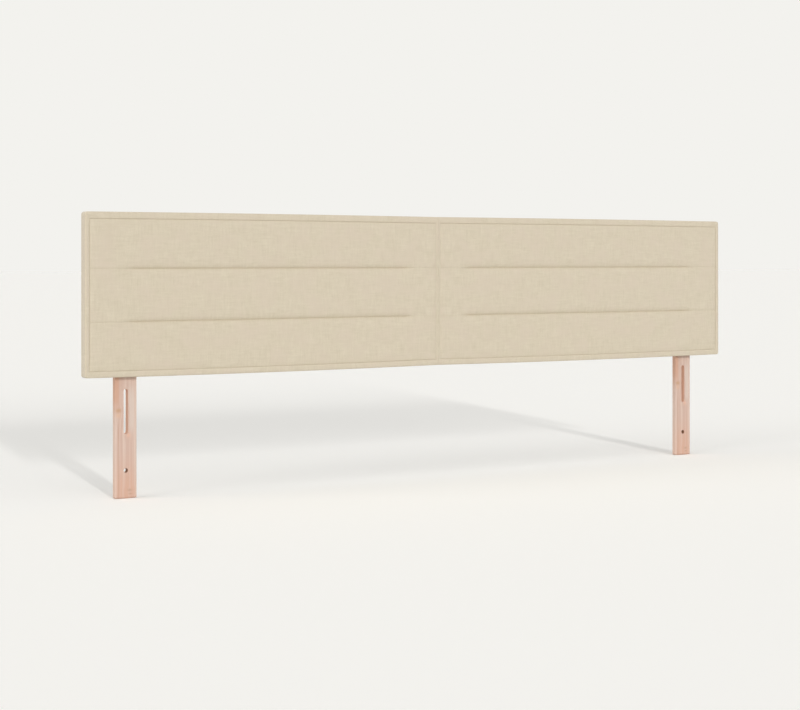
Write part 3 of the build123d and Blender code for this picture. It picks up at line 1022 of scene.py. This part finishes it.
boardLook = {
    "pressedWood": ((0.55, 0.40, 0.24), (0.42, 0.28, 0.15)),  # light and dark colour
    "thinPly": ((0.66, 0.50, 0.31), (0.55, 0.38, 0.21)),
    "fibreScales": {"pressedWood": (30, 30, 60), "thinPly": (6, 30, 160)},
    "fibreDetail": (5, 0.65),
    "fibreSpan": (0.3, 0.7),
    "speckScale": (400, 400, 400),
    "speckSpan": (0.55, 0.8, 0.0, 0.4),
    "roughness": {"pressedWood": 0.8, "thinPly": 0.7},
    "relief": {"pressedWood": (0.3, 0.4 * mm), "thinPly": (0.3, 0.2 * mm)},
}
zincLook = {
    "light": (0.72, 0.73, 0.74),
    "dark": (0.58, 0.59, 0.61),
    "crystals": 420,
    "scratches": ((60, 900, 900), 3),
    "darkSpan": (0.3, 0.7, 0.0, 0.5),
    "roughnessSpan": (0.0, 0.6, 0.28, 0.42),
    "relief": (0.12, 0.1 * mm),
}


def boardMaterial(name, look=boardLook):
    # Two colours mixed by noise stretched along the piece, which is the relief as well
    m = Shading(name)
    place = m.coordinates("Object")
    fibres = m.noise(place, look["fibreScales"][name], *look["fibreDetail"])
    specks = m.fromTo(m.noise(place, look["speckScale"]), *look["speckSpan"])
    light, dark = look[name]
    return m.finished({
        "Base Color": m.blend(specks, m.blend(m.fromTo(fibres, *look["fibreSpan"]), light, dark), dark),
        "Roughness": look["roughness"][name],
        "Normal": m.bump(fibres, *look["relief"][name]),
    })


def zincMaterial(look=zincLook):
    # Bright zinc: crystal patches in the roughness and a faint relief
    m = Shading("brightZinc")
    place = m.coordinates("Object")
    crystals = m.add("TexVoronoi", {"Vector": place, "Scale": look["crystals"]})[0]
    scratches = m.noise(place, *look["scratches"])
    return m.finished({
        "Base Color": m.blend(m.fromTo(scratches, *look["darkSpan"]), look["light"], look["dark"]),
        "Metallic": 1.0,
        "Roughness": m.fromTo(crystals, *look["roughnessSpan"]),
        "Normal": m.bump(scratches, *look["relief"]),
    })


pressedWood, thinPly = boardMaterial("pressedWood"), boardMaterial("thinPly")
brightZinc = zincMaterial()
finishes = {"front_board": (thinPly, "plywood")}
for name in ("top_rail", "bottom_rail", "outer_stile", "leg_stile", "middle_stile", "inner_stile"):
    finishes[name] = (pressedWood, "engineered_wood")
for name in ("leg_bolts", "leg_washers", "leg_tee_nuts"):
    finishes[name] = (brightZinc, "zinc_steel")
for side in ("left", "right"):
    for name, (material, slotName) in finishes.items():
        dress(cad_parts[side + "_" + name], material)
for side, seed in seeds["staples"].items():
    dress(liningStaples(side, seed), brightZinc)
for level in ("lower", "upper"):
    for name in ("_joining_plate", "_plate_screws"):
        dress(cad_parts[level + name], brightZinc)
print("inner pieces finished")


# Camera, floor and light

studio = {
    "cameraPlace": (-2.433, -3.8175, 0.578),
    "cameraTurn": 31.35,
    "focalPixels": 1672.5,
    "imageSize": (800, 710),
    "horizonPixel": 261.03,
    "shiftPixels": 0.2,
    "farthest": 400.0,
    "background": (0.896, 0.888, 0.855),
    "floorSize": 160.0,
    "floorColour": (0.80, 0.79, 0.76),
    "floorShown": 1.37,
    "skyColour": (1, 1, 1),
    "skyStrength": 0.45,
    # Soft lamps: energy, elevation, turn from the front to the left, and angle across, in degrees
    "lamps": {
        "keyHigh": (0.220, 20.5, 10, 2.5),
        "keyMiddle": (0.320, 18.5, 10, 2.5),
        "keyLow": (0.250, 16.5, 10, 2.5),
        "keyLower": (0.240, 14.0, 10, 3),
        "keyLowest": (0.180, 11.5, 10, 3),
        "frontFill": (0.55, 8, 0, 40),
        "leftFill": (1.35, 25, 88, 50),
        "topFill": (0.15, 88, 0, 70),
    },
}


def addCamera(c=studio):
    data = bpy.data.cameras.new("photoCamera")
    camera = addObject("photoCamera", data)
    camera.location = c["cameraPlace"]
    camera.rotation_euler = (rightAngle, 0, -math.radians(c["cameraTurn"]))
    width, height = c["imageSize"]
    data.lens = c["focalPixels"] * data.sensor_width / width
    data.shift_x = -c["shiftPixels"] / width
    data.shift_y = (c["horizonPixel"] - height / 2) / width
    data.clip_end = c["farthest"]
    scene.camera = camera


def addFloor(c=studio):
    # A plane whose colour is lifted for the camera, so that it meets the background without an edge
    half = c["floorSize"] / 2
    mesh = bpy.data.meshes.new("studioFloor")
    corners = [(-half, -half, 0), (half, -half, 0), (half, half, 0), (-half, half, 0)]
    mesh.from_pydata(corners, [], [(0, 1, 2, 3)])
    m = Shading("studioFloor")
    lifted = tuple(channel * c["floorShown"] for channel in c["floorColour"])
    colour = m.blend(m.add("LightPath")["Is Camera Ray"], c["floorColour"], lifted)
    m.add("OutputMaterial", {"Surface": m.add("BsdfDiffuse", {"Color": colour})[0]})
    mesh.materials.append(m.owner)
    floor = addObject("studioFloor", mesh)


def addLight(c=studio):
    # An even sky, a plain background where the camera sees it, and lamps turned towards the object
    world = bpy.data.worlds.new("studioWorld")
    scene.world = world
    m = Shading("studioWorld", world)
    sky = m.add("Background", {"Color": c["skyColour"], "Strength": c["skyStrength"]})[0]
    shown = m.add("Background", {"Color": c["background"]})[0]
    rays = m.add("LightPath")
    seen = m.calc("MAXIMUM", rays["Is Glossy Ray"], rays["Is Transmission Ray"])
    seen = m.calc("MAXIMUM", rays["Is Camera Ray"], seen)
    m.add("OutputWorld", {"Surface": m.add("MixShader", (seen, sky, shown))[0]})
    for name, (energy, elevation, turn, angle) in c["lamps"].items():
        data = bpy.data.lights.new(name, "SUN")
        data.energy = energy
        data.angle = math.radians(angle)
        lamp = addObject(name, data)
        lamp.rotation_euler = (math.radians(90 - elevation), 0, -math.radians(turn))


scene.view_settings.view_transform = "Standard"
addCamera()
addFloor()
addLight()
print("camera, floor and light set")
